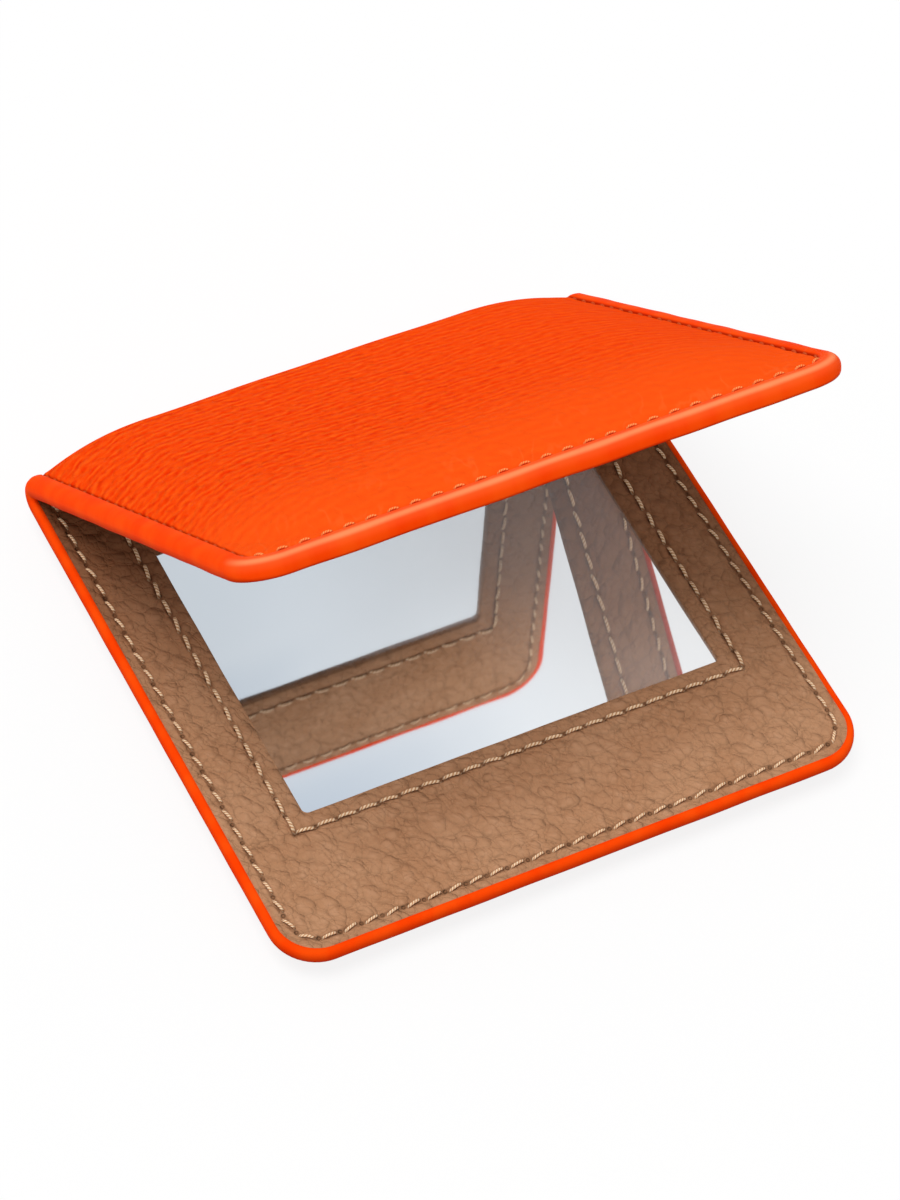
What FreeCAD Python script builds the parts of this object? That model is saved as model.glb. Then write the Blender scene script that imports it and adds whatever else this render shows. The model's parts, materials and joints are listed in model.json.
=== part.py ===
"""Folding leather compact mirror: two padded panels on a soft leather spine.

Each panel is drawn once, in a panel frame: x runs along the fold, y from the
fold line to the front edge, z outward from the mid plane between the shut
panels.  The same panel is then laid down as the base and turned up as the lid,
and the spine is the panel's end section bent round the fold.
"""
import FreeCAD, Part
import math
import os

os.makedirs("parts", exist_ok=True)

# Driving dimensions, in millimetres and degrees.
leather_width = 80.0         # cut leather, along the fold
panel_depth = 75.2           # fold line to the cut front edge
corner_radius = 5.5          # front corners of the cut leather
open_angle = 42.3            # between the two panels as they stand
fold_gap = 0.7               # between the two linings when shut
fold_reach = 1.5             # flat stretch of the spine on each side of the fold

# Thickness of each layer, from the lining outward.
lining_thickness = 1.0
mirror_thickness = 1.2
tape_thickness = 0.15
frame_thickness = 0.8        # filler frame where it runs out under the rim
board_thickness = 0.65
foam_thickness = 1.35        # over the board, under the top of the pillow
leather_thickness = 0.9

# The pillow: from its foot beside the seam up to its flat top.
crown_run = 15.0             # distance from foot to flat top
foot_margin = 0.3            # flat leather between the thread and the foot
board_clearance = 1.0        # foam left between the board's edge and the leather
frame_clearance = 0.85       # the same at the step of the filler frame

# Mirror, window and magnets.
mirror_overlap = 1.6         # mirror hidden behind the edge of the window
mirror_clearance = 0.25      # between the mirror and the filler frame
tape_inset = 2.0             # tape inside the edge of the mirror
board_lap = 1.15             # board beyond the edge of the mirror, at the sides
board_start = 4.0            # fold line to the board
back_border = 10.5           # fold line to the window
window_radius = 0.8          # corners of the window
magnet_diameter = 7.0
magnet_thickness = 1.2
magnet_spacing = 34.0        # between the centres of the two magnets
magnet_clearance = 0.1
magnet_wall = 1.0            # filler left before and behind a magnet

# Stitching and painted edge.
seam_inset = 1.8             # cut edge to the middle of the seam
window_seam_offset = 2.3     # edge of the window to the middle of its seam
thread_width = 0.55
thread_depth = 0.4           # how far the thread sinks into the leather
thread_proud = 0.12          # how far it stands out
paint_thickness = 0.75       # painted edge beyond the cut edge, at its roundest

# Levels in the panel frame, worked out from the layers.
half_width = leather_width / 2
lining_face = fold_gap / 2
lining_back = lining_face + lining_thickness
frame_back = lining_back + frame_thickness
rim_face = frame_back + leather_thickness
mirror_back = lining_back + mirror_thickness
board_face = mirror_back + tape_thickness
board_back = board_face + board_thickness
crown_height = board_back + foam_thickness - frame_back
crown_top = rim_face + crown_height

# Insets from the cut edge, worked out from the seam inward.  The side of the
# pillow is one arc, which meets the flat top without a break.
crown_foot = seam_inset + thread_width / 2 + foot_margin
inner_foot = crown_foot + leather_thickness / 2
crown_radius = (crown_run ** 2 + crown_height ** 2) / (2 * crown_height)


def crown_inset(height):
    """Distance from the foot at which the pillow has risen to this height."""
    below_top = crown_height - height
    return crown_run - math.sqrt(crown_radius ** 2 - (crown_radius - below_top) ** 2)


board_inset = inner_foot + crown_inset(board_back - frame_back) + board_clearance
step_inset = inner_foot + crown_inset(board_face - frame_back) + frame_clearance
side_border = board_inset + board_lap + mirror_overlap
pocket_length = magnet_diameter + 2 * magnet_clearance
mirror_margin = mirror_overlap + mirror_clearance
front_border = board_inset + pocket_length + 2 * magnet_wall + mirror_margin
magnet_y = panel_depth - board_inset - magnet_wall - pocket_length / 2

# Place of the fold line in the finished part: the middle of the outline on the
# table is the origin, and the flat top of the base's pillow lies on the table.
fold_y = (panel_depth + paint_thickness - crown_top) / 2
fold_z = crown_top


def vec(x, y, z):
    return FreeCAD.Vector(x, y, z)


X_AXIS = vec(1, 0, 0)
Z_AXIS = vec(0, 0, 1)
ORIGIN = vec(0, 0, 0)

# Centre of the right front corner's rounding.
corner_x = half_width - corner_radius
corner_y = panel_depth - corner_radius


def panel_outline(inset, radius, z, back=0.0):
    """Outline of a panel: straight at the back, two rounded corners in front."""
    side = half_width - inset
    front = panel_depth - inset
    left = -side + radius
    right = side - radius
    shoulder = front - radius
    diagonal = radius * math.sqrt(0.5)
    start = vec(-side, back, z)
    left_low = vec(-side, shoulder, z)
    left_mid = vec(left - diagonal, shoulder + diagonal, z)
    left_high = vec(left, front, z)
    right_high = vec(right, front, z)
    right_mid = vec(right + diagonal, shoulder + diagonal, z)
    right_low = vec(side, shoulder, z)
    end = vec(side, back, z)
    edges = [
        Part.LineSegment(start, left_low).toShape(),
        Part.Arc(left_low, left_mid, left_high).toShape(),
        Part.LineSegment(left_high, right_high).toShape(),
        Part.Arc(right_high, right_mid, right_low).toShape(),
        Part.LineSegment(right_low, end).toShape(),
        Part.LineSegment(end, start).toShape(),
    ]
    return Part.Wire(edges)


def panel_plate(inset, radius, low, high, back=0.0):
    """Flat layer of a panel between two levels, set in from the cut edge."""
    face = Part.Face(panel_outline(inset, radius, low, back))
    return face.extrude(vec(0, 0, high - low))


def pad_radius(inset):
    """Corner of a layer inside the pillow, on the same centre as the pillow's."""
    return inner_foot + crown_run - inset


def block(half_x, y_low, y_high, low, high):
    """Rectangular block, centred on the middle of the fold."""
    corner = vec(-half_x, y_low, low)
    return Part.makeBox(2 * half_x, y_high - y_low, high - low, corner)


def past_fold(shape):
    """The stretch of a layer that belongs to the panel and not to the spine."""
    room = leather_width
    keep = block(room, fold_reach, panel_depth + room, -room, room)
    return shape.common(keep)


def round_the_panel(section, corner_x, corner_y, back):
    """Carry a section of the right side round both front corners to the left."""
    corner = vec(corner_x, corner_y, 0)
    at_corner = section.translated(vec(0, corner_y, 0))
    side = section.translated(vec(0, back, 0)).extrude(vec(0, corner_y - back, 0))
    bend = at_corner.revolve(corner, Z_AXIS, 90)
    front = at_corner.rotated(corner, Z_AXIS, 90).extrude(vec(-2 * corner_x, 0, 0))
    left_side = side.mirror(ORIGIN, X_AXIS)
    left_bend = bend.mirror(ORIGIN, X_AXIS)
    return side.fuse([bend, front, left_bend, left_side]).removeSplitter()


def pillow(foot, base_level, skived=False):
    """Solid under a pillow: a flat top, and sides that roll down in one arc or,
    where foam is skived by hand, in two straight cuts."""
    outer = half_width - foot
    inner = outer - crown_run
    front = panel_depth - foot - crown_run
    top = base_level + crown_height
    half_turn = math.asin(crown_run / crown_radius) / 2
    sagging = crown_radius * (1 - math.cos(half_turn))
    foot_point = vec(outer, 0, base_level)
    arc_middle = vec(inner + crown_radius * math.sin(half_turn), 0, top - sagging)
    top_point = vec(inner, 0, top)
    low_point = vec(inner, 0, base_level)
    edges = [
        Part.LineSegment(top_point, low_point).toShape(),
        Part.LineSegment(low_point, foot_point).toShape(),
    ]
    if skived:
        edges.append(Part.LineSegment(foot_point, arc_middle).toShape())
        edges.append(Part.LineSegment(arc_middle, top_point).toShape())
    else:
        edges.append(Part.Arc(foot_point, arc_middle, top_point).toShape())
    roll = round_the_panel(Part.Face(Part.Wire(edges)), inner, front, -crown_run)
    core = block(inner, -crown_run, front, base_level, top)
    return roll.fuse(core).removeSplitter()


def ring_round_edge(inset, low, high):
    """Thread along the seam: down one side, along the front and up the other."""
    inner = half_width - inset - thread_width / 2
    outer = inner + thread_width
    corners = [vec(inner, 0, low), vec(outer, 0, low), vec(outer, 0, high), vec(inner, 0, high)]
    section = Part.Face(Part.makePolygon(corners + corners[:1]))
    return round_the_panel(section, corner_x, corner_y, fold_reach)


def ring_round_window(offset, low, high):
    """Thread round the window, with square corners."""
    reach = offset + thread_width / 2
    bite = offset - thread_width / 2
    return window_block(reach, low, high).cut(window_block(bite, low - 1, high + 1))


def window_block(margin, low, high):
    """Block as large as the window and a margin all round."""
    half_x = half_width - side_border + margin
    y_high = panel_depth - front_border + margin
    return block(half_x, back_border - margin, y_high, low, high)


def magnet_discs(radius, low, high):
    """One disc on each side of the middle, in the front border."""
    discs = []
    for side in (-1, 1):
        centre = vec(side * magnet_spacing / 2, magnet_y, low)
        discs.append(Part.makeCylinder(radius, high - low, centre, Z_AXIS))
    return Part.makeCompound(discs)


def make_seam_thread_inside():
    return ring_round_edge(seam_inset, lining_face - thread_proud, lining_face + thread_depth)


def make_seam_thread_outside():
    return ring_round_edge(seam_inset, rim_face - thread_depth, rim_face + thread_proud)


def make_window_thread():
    low = lining_face - thread_proud
    return ring_round_window(window_seam_offset, low, lining_face + thread_depth)


def make_lining():
    """Lining leather with its window and the grooves that the threads lie in."""
    sheet = past_fold(panel_plate(0, corner_radius, lining_face, lining_back))
    window = window_block(0, lining_face - 1, lining_back + 1)
    uprights = [edge for edge in window.Edges if edge.BoundBox.ZLength > lining_thickness]
    sheet = sheet.cut(window.makeFillet(window_radius, uprights))
    return sheet.cut(make_seam_thread_inside()).cut(make_window_thread())


def make_mirror():
    """Glass plate behind the window."""
    return window_block(mirror_overlap, lining_back, mirror_back)


def make_mirror_tape():
    return window_block(mirror_overlap - tape_inset, mirror_back, board_face)


def make_closing_magnets():
    return magnet_discs(magnet_diameter / 2, lining_back, lining_back + magnet_thickness)


def make_filler_frame():
    """Frame round the mirror: thin under the rim, as deep as the mirror inside."""
    thin = panel_plate(0, corner_radius, lining_back, frame_back)
    deep = panel_plate(step_inset, pad_radius(step_inset), lining_back, board_face)
    frame = past_fold(thin)
    frame = frame.fuse(deep.common(block(half_width, board_start, panel_depth, 0, crown_top)))
    frame = frame.cut(window_block(mirror_margin, lining_back - 1, board_face + 1))
    pockets = magnet_discs(pocket_length / 2, lining_back - 1, board_face + 1)
    return frame.cut(pockets).removeSplitter()


def make_stiffener_board():
    sheet = panel_plate(board_inset, pad_radius(board_inset), board_face, board_back)
    return sheet.common(block(half_width, board_start, panel_depth, 0, crown_top))


def make_foam_pad():
    """Foam that fills the pillow round the board and the filler frame."""
    foam = past_fold(pillow(inner_foot, frame_back, skived=True))
    return foam.cut(make_filler_frame()).cut(make_stiffener_board()).cut(foam_void())


def foam_void():
    """Space inside the filler frame, taken by the mirror, tape and magnets."""
    return window_block(mirror_margin, lining_back, board_face).fuse(
        magnet_discs(pocket_length / 2, lining_back, board_face))


def make_outer_leather():
    """Outer leather: a flat sewn rim round the drawn-up pillow."""
    rim = panel_plate(0, corner_radius, frame_back, rim_face, -crown_run)
    skin = rim.fuse(pillow(crown_foot, rim_face))
    skin = skin.cut(pillow(inner_foot, frame_back, skived=True))
    skin = past_fold(skin).removeSplitter()
    return skin.cut(make_seam_thread_outside())


def make_edge_paint():
    """Painted edge: a rounded bead over the cut edges of all the layers."""
    low = vec(half_width, 0, lining_face)
    bulge = vec(half_width + paint_thickness, 0, (lining_face + rim_face) / 2)
    high = vec(half_width, 0, rim_face)
    edges = [
        Part.Arc(low, bulge, high).toShape(),
        Part.LineSegment(high, low).toShape(),
    ]
    section = Part.Face(Part.Wire(edges))
    return round_the_panel(section, corner_x, corner_y, fold_reach)


def fold_section(shape):
    """Faces of a panel piece that lie on the plane where the spine begins."""
    faces = []
    for face in shape.Faces:
        if abs(face.BoundBox.YMin - fold_reach) < 1e-6 and face.BoundBox.YLength < 1e-6:
            faces.append(face)
    return faces


def bend_over_spine(shape):
    """Carry a piece's end section round the fold to where the lid begins."""
    turn = 180 - open_angle
    strips = []
    for face in fold_section(shape):
        to_axis = vec(0, -fold_reach, 0)
        at_axis = face.translated(to_axis)
        bend = at_axis.revolve(ORIGIN, X_AXIS, turn)
        at_lid = at_axis.rotated(ORIGIN, X_AXIS, turn)
        onward = FreeCAD.Rotation(X_AXIS, turn).multVec(to_axis)
        strip = face.extrude(to_axis).fuse([bend, at_lid.extrude(onward)])
        strips.append(strip.removeSplitter())
    return Part.makeCompound(strips) if len(strips) > 1 else strips[0]


def lay_as_base(shape):
    """Panel frame to finished part, with the panel face down on the table."""
    placed = shape.rotated(ORIGIN, X_AXIS, 180)
    return placed.translated(vec(0, fold_y, fold_z))


def stand_as_lid(shape):
    """Panel frame to finished part, with the panel opened about the fold."""
    placed = shape.rotated(ORIGIN, Z_AXIS, 180)
    placed = placed.rotated(ORIGIN, X_AXIS, -open_angle)
    return placed.translated(vec(0, fold_y, fold_z))


def write(name, shape):
    shape.exportStep(os.path.join("parts", name + ".step"))
    print(name, len(shape.Solids), "solid(s)", round(shape.Volume, 2), "mm3", shape.isValid())


PANEL_PIECES = {
    "outer_leather": make_outer_leather,
    "foam_pad": make_foam_pad,
    "stiffener_board": make_stiffener_board,
    "mirror_tape": make_mirror_tape,
    "mirror": make_mirror,
    "filler_frame": make_filler_frame,
    "closing_magnets": make_closing_magnets,
    "lining": make_lining,
    "window_thread": make_window_thread,
    "seam_thread_inside": make_seam_thread_inside,
    "seam_thread_outside": make_seam_thread_outside,
    "edge_paint": make_edge_paint,
}

# Pieces that run on over the fold, with the name of their stretch in the spine.
SPINE_PIECES = {
    "outer_leather": "spine_outer_leather",
    "foam_pad": "spine_foam_pad",
    "filler_frame": "spine_reinforcement",
    "lining": "spine_lining",
    "seam_thread_inside": "spine_thread_inside",
    "seam_thread_outside": "spine_thread_outside",
    "edge_paint": "spine_edge_paint",
}

for piece, make in PANEL_PIECES.items():
    panel_piece = make()
    write("base_" + piece, lay_as_base(panel_piece))
    write("lid_" + piece, stand_as_lid(panel_piece))
    if piece in SPINE_PIECES:
        write(SPINE_PIECES[piece], lay_as_base(bend_over_spine(panel_piece)))

print("window", round(leather_width - 2 * side_border, 2), "x",
      round(panel_depth - front_border - back_border, 2), "mm")
print("borders: side", round(side_border, 2), "front", round(front_border, 2))
print("shut thickness", round(2 * crown_top, 2), "mm, rim", round(rim_face - lining_face, 2), "mm")
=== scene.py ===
# %% [markdown]
# # A folding compact mirror in leather
# The object is like a small book. Two padded panels turn on their own soft
# spine, and each holds a mirror behind a window in its lining. The CAD frame
# puts every piece in its place. This script gives the leather, the painted edge
# and the stitches their real forms, and gives every piece its finish.

# %% Load the frame
import json
import math

import bmesh
import bpy
import numpy as np
from mathutils import Matrix, Vector


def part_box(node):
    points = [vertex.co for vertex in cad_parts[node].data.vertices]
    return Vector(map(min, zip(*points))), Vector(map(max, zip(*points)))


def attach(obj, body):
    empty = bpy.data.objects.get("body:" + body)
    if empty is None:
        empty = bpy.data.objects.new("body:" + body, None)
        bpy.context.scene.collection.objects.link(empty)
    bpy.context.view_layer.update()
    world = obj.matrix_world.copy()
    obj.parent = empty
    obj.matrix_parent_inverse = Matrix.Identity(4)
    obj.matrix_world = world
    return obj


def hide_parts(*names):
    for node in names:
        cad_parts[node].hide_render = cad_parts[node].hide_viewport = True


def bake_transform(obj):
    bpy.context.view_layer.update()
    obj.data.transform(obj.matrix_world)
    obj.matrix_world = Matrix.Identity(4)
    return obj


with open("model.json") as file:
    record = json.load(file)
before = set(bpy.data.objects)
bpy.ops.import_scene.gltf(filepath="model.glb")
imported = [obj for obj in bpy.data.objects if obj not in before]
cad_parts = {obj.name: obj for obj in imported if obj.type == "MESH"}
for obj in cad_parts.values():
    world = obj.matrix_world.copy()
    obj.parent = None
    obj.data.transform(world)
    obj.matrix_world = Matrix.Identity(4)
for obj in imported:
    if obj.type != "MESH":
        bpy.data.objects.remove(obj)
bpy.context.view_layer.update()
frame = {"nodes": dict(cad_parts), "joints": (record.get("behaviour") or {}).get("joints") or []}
hinge = frame["joints"][0]

# %% [markdown]
# ## Sizes
# Leather goods are drawn in millimetres, so this script works in millimetres and
# turns to metres only when a mesh is made. Most sizes are read from the boxes of
# the CAD nodes. A few that no box shows, such as the inset of a seam, are named.
# A panel is measured by v, from the fold to the front, and w, outward from the
# plane in which the two panels meet when shut.

# %% Sizes of the panels
MM = 0.001


def box_mm(node):
    """Lowest and highest corner of a CAD node, in millimetres."""
    low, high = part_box(node)
    return np.array(low) / MM, np.array(high) / MM


fold_y = hinge["pos_m"][1] / MM
fold_z = hinge["pos_m"][2] / MM
open_angle = math.radians(-hinge["range_deg"][0])
spine_turn = math.pi - open_angle

low, high = box_mm("base_lining")
half_width = high[0]
panel_depth = fold_y - low[1]
lining_face = fold_z - high[2]
lining_back = fold_z - low[2]

low, high = box_mm("base_edge_paint")
rim_face = fold_z - low[2]
edge_bulge = high[0] - half_width
crown_top = fold_z - box_mm("base_outer_leather")[0][2]
board_back = fold_z - box_mm("base_stiffener_board")[0][2]
frame_back = fold_z - box_mm("base_foam_pad")[1][2]

corner_radius = 5.5          # front corners of the cut leather
seam_inset = 1.8             # cut edge to the seam
crown_foot = 2.4             # cut edge to the foot of the pillow
crown_run = 15.0             # foot of the pillow to its flat top
lining_curl = 0.9            # radius of the lining at the fold
window_seam_offset = 2.3     # edge of the window to its seam
thread_width = 0.55          # width of the thread in the CAD node
stitch_pitch = 2.87          # about; each seam takes a whole number of stitches

low, high = box_mm("base_window_thread")
thread_reach = window_seam_offset + thread_width / 2
window_half = high[0] - thread_reach
window_back = fold_y - high[1] + thread_reach
window_front = fold_y - low[1] - thread_reach
print("panel %.1f x %.1f mm, window %.1f x %.1f mm, open %.1f degrees" % (
    2 * half_width, panel_depth, 2 * window_half, window_front - window_back,
    math.degrees(open_angle)))

# %% [markdown]
# ## The leather laid flat
# On the bench, cover and lining are each one flat piece of leather that is then
# folded round the spine. The meshes are made the same way. A point is given on
# the flat piece by x along the fold and q across it, and a function folds it
# round the spine. A long flat piece needs no joins at the fold lines, so the
# finished leather runs through from base to lid without a break.

# %% Fold a flat piece round the spine
class FlatPiece:
    """A flat piece that goes from the base's front, round the spine, to the lid's."""

    def __init__(self, spine_radius):
        self.arc = spine_radius * spine_turn

    def from_fold(self, q):
        """Distance of a point from the nearer fold line; 0 in the spine."""
        return np.clip(-q, 0, None) + np.clip(q - self.arc, 0, None)

    def toward_lid(self, q):
        """Share of the way round the spine: 0 on the base, 1 on the lid."""
        return np.clip(q / self.arc, 0, 1)

    def near_front(self, q, start, run):
        """0 up to the distance start from the fold, and 1 from run millimetres on."""
        return np.clip((self.from_fold(q) - start) / run, 0, 1)

    def place(self, x, q, w):
        """Place, in metres, of points at x and q, a distance w out from the fold."""
        turned = self.toward_lid(q) * spine_turn
        on_base = np.clip(-q, 0, None)
        on_lid = np.clip(q - self.arc, 0, None)
        y = fold_y - on_base - on_lid * math.cos(open_angle) + w * np.sin(turned)
        z = fold_z + on_lid * math.sin(open_angle) - w * np.cos(turned)
        return np.stack(np.broadcast_arrays(x, y, z), axis=-1) * MM

    def corners(self, x, q, inset):
        """x and q with the four corners of a grid pulled in to round corners."""
        radius = corner_radius - inset
        a = np.clip(np.abs(x) - (half_width - inset - radius), 0, None)
        b = np.clip(self.from_fold(q) - (panel_depth - inset - radius), 0, None)
        pull = np.maximum(a, b) / np.maximum(np.hypot(a, b), 1e-9)
        pull = np.where(np.minimum(a, b) > 0, pull, 1)
        outward = np.where(q < 0, -1, 1)
        return x + np.sign(x) * a * (pull - 1), q + outward * b * (pull - 1)

    def inside(self, x, q, inset, radius):
        """How far points lie inside an outline set in from the cut edge."""
        side = half_width - inset - np.abs(x)
        end = panel_depth - inset - self.from_fold(q)
        in_corner = radius - np.hypot(radius - side, radius - end)
        at_corner = (side < radius) & (end < radius)
        return np.where(at_corner, in_corner, np.minimum(side, end))


cover_sheet = FlatPiece(crown_top)
edge_strip = FlatPiece(rim_face)
lining_sheet = FlatPiece(lining_curl)
print("length round the spine: cover %.1f, edge %.1f, lining %.1f mm" % (
    cover_sheet.arc, edge_strip.arc, lining_sheet.arc))

# %% [markdown]
# ## Where the stitches fall
# A seam runs from one fold line along the side, round the front and back to the
# other fold line. A whole number of stitches fits on each run. The count along
# it, in stitches, is kept on the leather too, because the needle holes and the
# small hollows that the thread pulls have to lie where the stitches end.

# %% Count along the seams
seam_corner = corner_radius - seam_inset
seam_side = half_width - seam_inset - seam_corner
seam_end = panel_depth - seam_inset - seam_corner
seam_length = 2 * (seam_end + seam_corner * math.pi / 2 + seam_side)
seam_count = round(seam_length / stitch_pitch)
spine_count = round(rim_face * spine_turn / stitch_pitch)


def count_on_edge_seam(sheet, x, q):
    """Stitches between the fold line and the point of the edge seam beside (x, q)."""
    v = sheet.from_fold(q)
    a = np.abs(x) - seam_side
    b = v - seam_end
    bend = seam_corner * np.arctan2(np.clip(b, 0, None), np.clip(a, 1e-9, None))
    at_front = seam_end + seam_corner * math.pi / 2 - np.clip(a, None, 0)
    run = np.where((a > 0) & (b > 0), seam_end + bend, np.where(b > a, at_front, v))
    in_spine = (q > 0) & (q < sheet.arc)
    return np.where(in_spine, sheet.toward_lid(q) * spine_count, run * seam_count / seam_length)


window_seam_x = window_half + window_seam_offset
window_seam_low = window_back - window_seam_offset
window_seam_high = window_front + window_seam_offset
window_count_x = round(2 * window_seam_x / stitch_pitch)
window_count_v = round((window_seam_high - window_seam_low) / stitch_pitch)


def count_on_window_seam(x, v):
    """Stitches along the side of the window seam beside (x, v), and the distance to it."""
    along_x = (x + window_seam_x) / (2 * window_seam_x) * window_count_x
    along_v = (v - window_seam_low) / (window_seam_high - window_seam_low) * window_count_v
    off_x = np.abs(x) - window_seam_x
    off_v = np.maximum(window_seam_low - v, v - window_seam_high)
    return np.where(off_x > off_v, along_v, along_x), np.maximum(off_x, off_v)


def at_needle_hole(count):
    """1 at a needle hole, 0 midway between two."""
    return 0.5 + 0.5 * np.cos(2 * math.pi * count)


print("stitches: %d on an edge seam, %d over the spine, %d round a window" % (
    seam_count, spine_count, 2 * (window_count_x + window_count_v)))

# %% [markdown]
# ## Meshes from grids
# A grid of points is the plainest way to make a curved sheet: each cell becomes a
# four-sided face. A second grid behind it and a wall round the rim close it to a
# solid. The flat place of each point is kept as a UV map, so that grain follows
# the leather round the spine and stays on it when the lid moves.

# %% Helpers that make meshes
UV_SPAN = 200.0              # millimetres of leather across the whole UV square


def put_in_scene(name, data):
    """Object with this name and data, linked to the scene."""
    piece = bpy.data.objects.new(name, data)
    bpy.context.scene.collection.objects.link(piece)
    return piece


def mend(mesh, merge=0.0, close=False, outward=True):
    """Merge points closer than merge, close open ends, turn the faces outward."""
    shape = bmesh.new()
    shape.from_mesh(mesh)
    if merge:
        bmesh.ops.remove_doubles(shape, verts=shape.verts, dist=merge)
    if close:
        bmesh.ops.holes_fill(shape, edges=shape.edges)
    if outward:
        bmesh.ops.recalc_face_normals(shape, faces=shape.faces)
    shape.to_mesh(mesh)
    shape.free()


def add_uv(mesh, name, uv, faces):
    """UV map from one UV for each point."""
    layer = mesh.uv_layers.new(name=name)
    layer.data.foreach_set("uv", uv[faces.ravel()].astype(np.float32).ravel())


def new_mesh(name, points, faces, uv, marks):
    """Object with outward faces, a UV map in flat leather, and marks on its points."""
    used, faces = np.unique(faces, return_inverse=True)
    faces = faces.reshape(-1, 4)
    mesh = bpy.data.meshes.new(name)
    mesh.from_pydata(points[used].tolist(), [], faces.tolist())
    add_uv(mesh, "flat", uv[used], faces)
    for mark, values in marks.items():
        attribute = mesh.attributes.new(mark, "FLOAT", "POINT")
        attribute.data.foreach_set("value", values.ravel()[used].astype(np.float32))
    mend(mesh)
    mesh.shade_smooth()
    print(name, len(mesh.vertices), "points", len(mesh.polygons), "faces")
    return put_in_scene(name, mesh)


# %% Grids, and a sheet of leather from a grid
def grid_lines(*stretches):
    """Grid lines along stretches of (start, end, step)."""
    lines = [np.linspace(a, b, round(abs(b - a) / step) + 1) for a, b, step in stretches]
    return np.unique(np.concatenate(lines).round(5))


def grid_cells(rows, columns):
    """Corner numbers of the cells of a grid, one row of four for each cell."""
    number = np.arange(rows * columns).reshape(rows, columns)
    corners = [number[:-1, :-1], number[:-1, 1:], number[1:, 1:], number[1:, :-1]]
    return np.stack(corners, axis=-1).reshape(-1, 4)


def walls_between(cells, shift):
    """Faces that join the rim of a sheet to the rim of its copy, shift points on."""
    start = cells.ravel()
    end = np.roll(cells, -1, axis=1).ravel()
    known = set(zip(start.tolist(), end.tolist()))
    rim = [(a, b) for a, b in known if (b, a) not in known]
    return np.array(sorted((b, a, a + shift, b + shift) for a, b in rim))


def leather_sheet(name, sheet, x, q, cells, levels, count, off):
    """Closed sheet between two levels, with its seam and its fold kept as marks."""
    points = np.concatenate([sheet.place(x, q, level) for level in levels])
    faces = np.concatenate([cells, cells[:, ::-1] + len(x), walls_between(cells, len(x))])
    uv = np.stack([x / UV_SPAN + 0.5, (q - sheet.arc / 2) / UV_SPAN + 0.5], axis=-1)
    marks = {"stitch_count": count, "stitch_off": off, "from_fold": sheet.from_fold(q)}
    return new_mesh(name, points, faces, np.tile(uv, (2, 1)),
                    {mark: np.tile(values, 2) for mark, values in marks.items()})


def waves(*values, lengths, seed):
    """Smooth, repeatable unevenness between about -1 and 1, from a few sines."""
    rng = np.random.default_rng(seed)
    total = 0
    for length in lengths:
        turns = rng.normal(size=len(values))
        turns = turns / np.linalg.norm(turns)
        phase = rng.uniform(0, 2 * math.pi)
        run = sum(t * v for t, v in zip(turns, values))
        total = total + np.sin(run * 2 * math.pi / length + phase)
    return total / math.sqrt(len(lengths))


print("a grid of 3 x 3 points has", len(grid_cells(3, 3)), "cells")

# %% [markdown]
# ## The padded cover
# The outer leather is drawn over foam and sewn down near the edge, so it rises
# from the seam in a soft arc to a flat top, and the same swell goes on over the
# spine. A cloth simulation could find that form, but here the foam gives it
# exactly, so the height is worked out from the distance to the seam. The thread
# pulls a small hollow at every needle hole, and short folds run in from there.

# %% Shape of the padded cover
crown_rise = crown_top - rim_face
crown_radius = (crown_run ** 2 + crown_rise ** 2) / (2 * crown_rise)
foot_softness = 0.4          # rounding at the foot of the pillow
seam_depth = 0.42            # groove that the seam pulls into the leather
seam_spread = 0.3            # half the width of that groove
hole_pull = 0.14             # extra depth at a needle hole
hole_spread = 1.3
fold_height = 0.10           # short folds beside the seam
fold_start, fold_reach = 0.6, 3.5
sag_depth = 0.10             # slow unevenness of the foam


def crown_height(from_foot):
    """Height of the pillow above the rim: one arc, with a softened foot."""
    inward = (from_foot + np.sqrt(from_foot ** 2 + foot_softness ** 2)) / 2
    left = np.clip(crown_run - inward, 0, None)
    return np.sqrt(crown_radius ** 2 - left ** 2) - (crown_radius - crown_rise)


def cover_level(x, q, count, seam):
    """Level w of the cover's outer face, with its seam, hollows and folds."""
    swell = crown_height(cover_sheet.inside(x, q, crown_foot, crown_run))
    groove = seam_depth * np.exp(-(seam / seam_spread) ** 2)
    hollow = hole_pull * at_needle_hole(count) * np.exp(-seam / hole_spread)
    folds = fold_height * (waves(count, lengths=(1.7, 2.6, 3.9, 5.3), seed=4) - 1.2)
    folds = folds * np.exp(-seam / fold_reach) * (1 - np.exp(-seam / fold_start))
    sag = sag_depth * (1 - waves(x, q, lengths=(19, 27, 34), seed=9) / 1.8)
    return rim_face + swell - groove - hollow + folds - sag * swell / crown_rise


print("crown %.2f mm high, arc of %.1f mm radius" % (crown_rise, crown_radius))

# %% Make the padded cover
fine, coarse, round_fold = 0.28, 0.8, 0.6     # steps of the grid
flat_x, flat_v = 32, 66      # the pillow falls to its rim beyond these
board_start = 3.0            # the board begins this far from the fold
least_padding = 0.6

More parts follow.
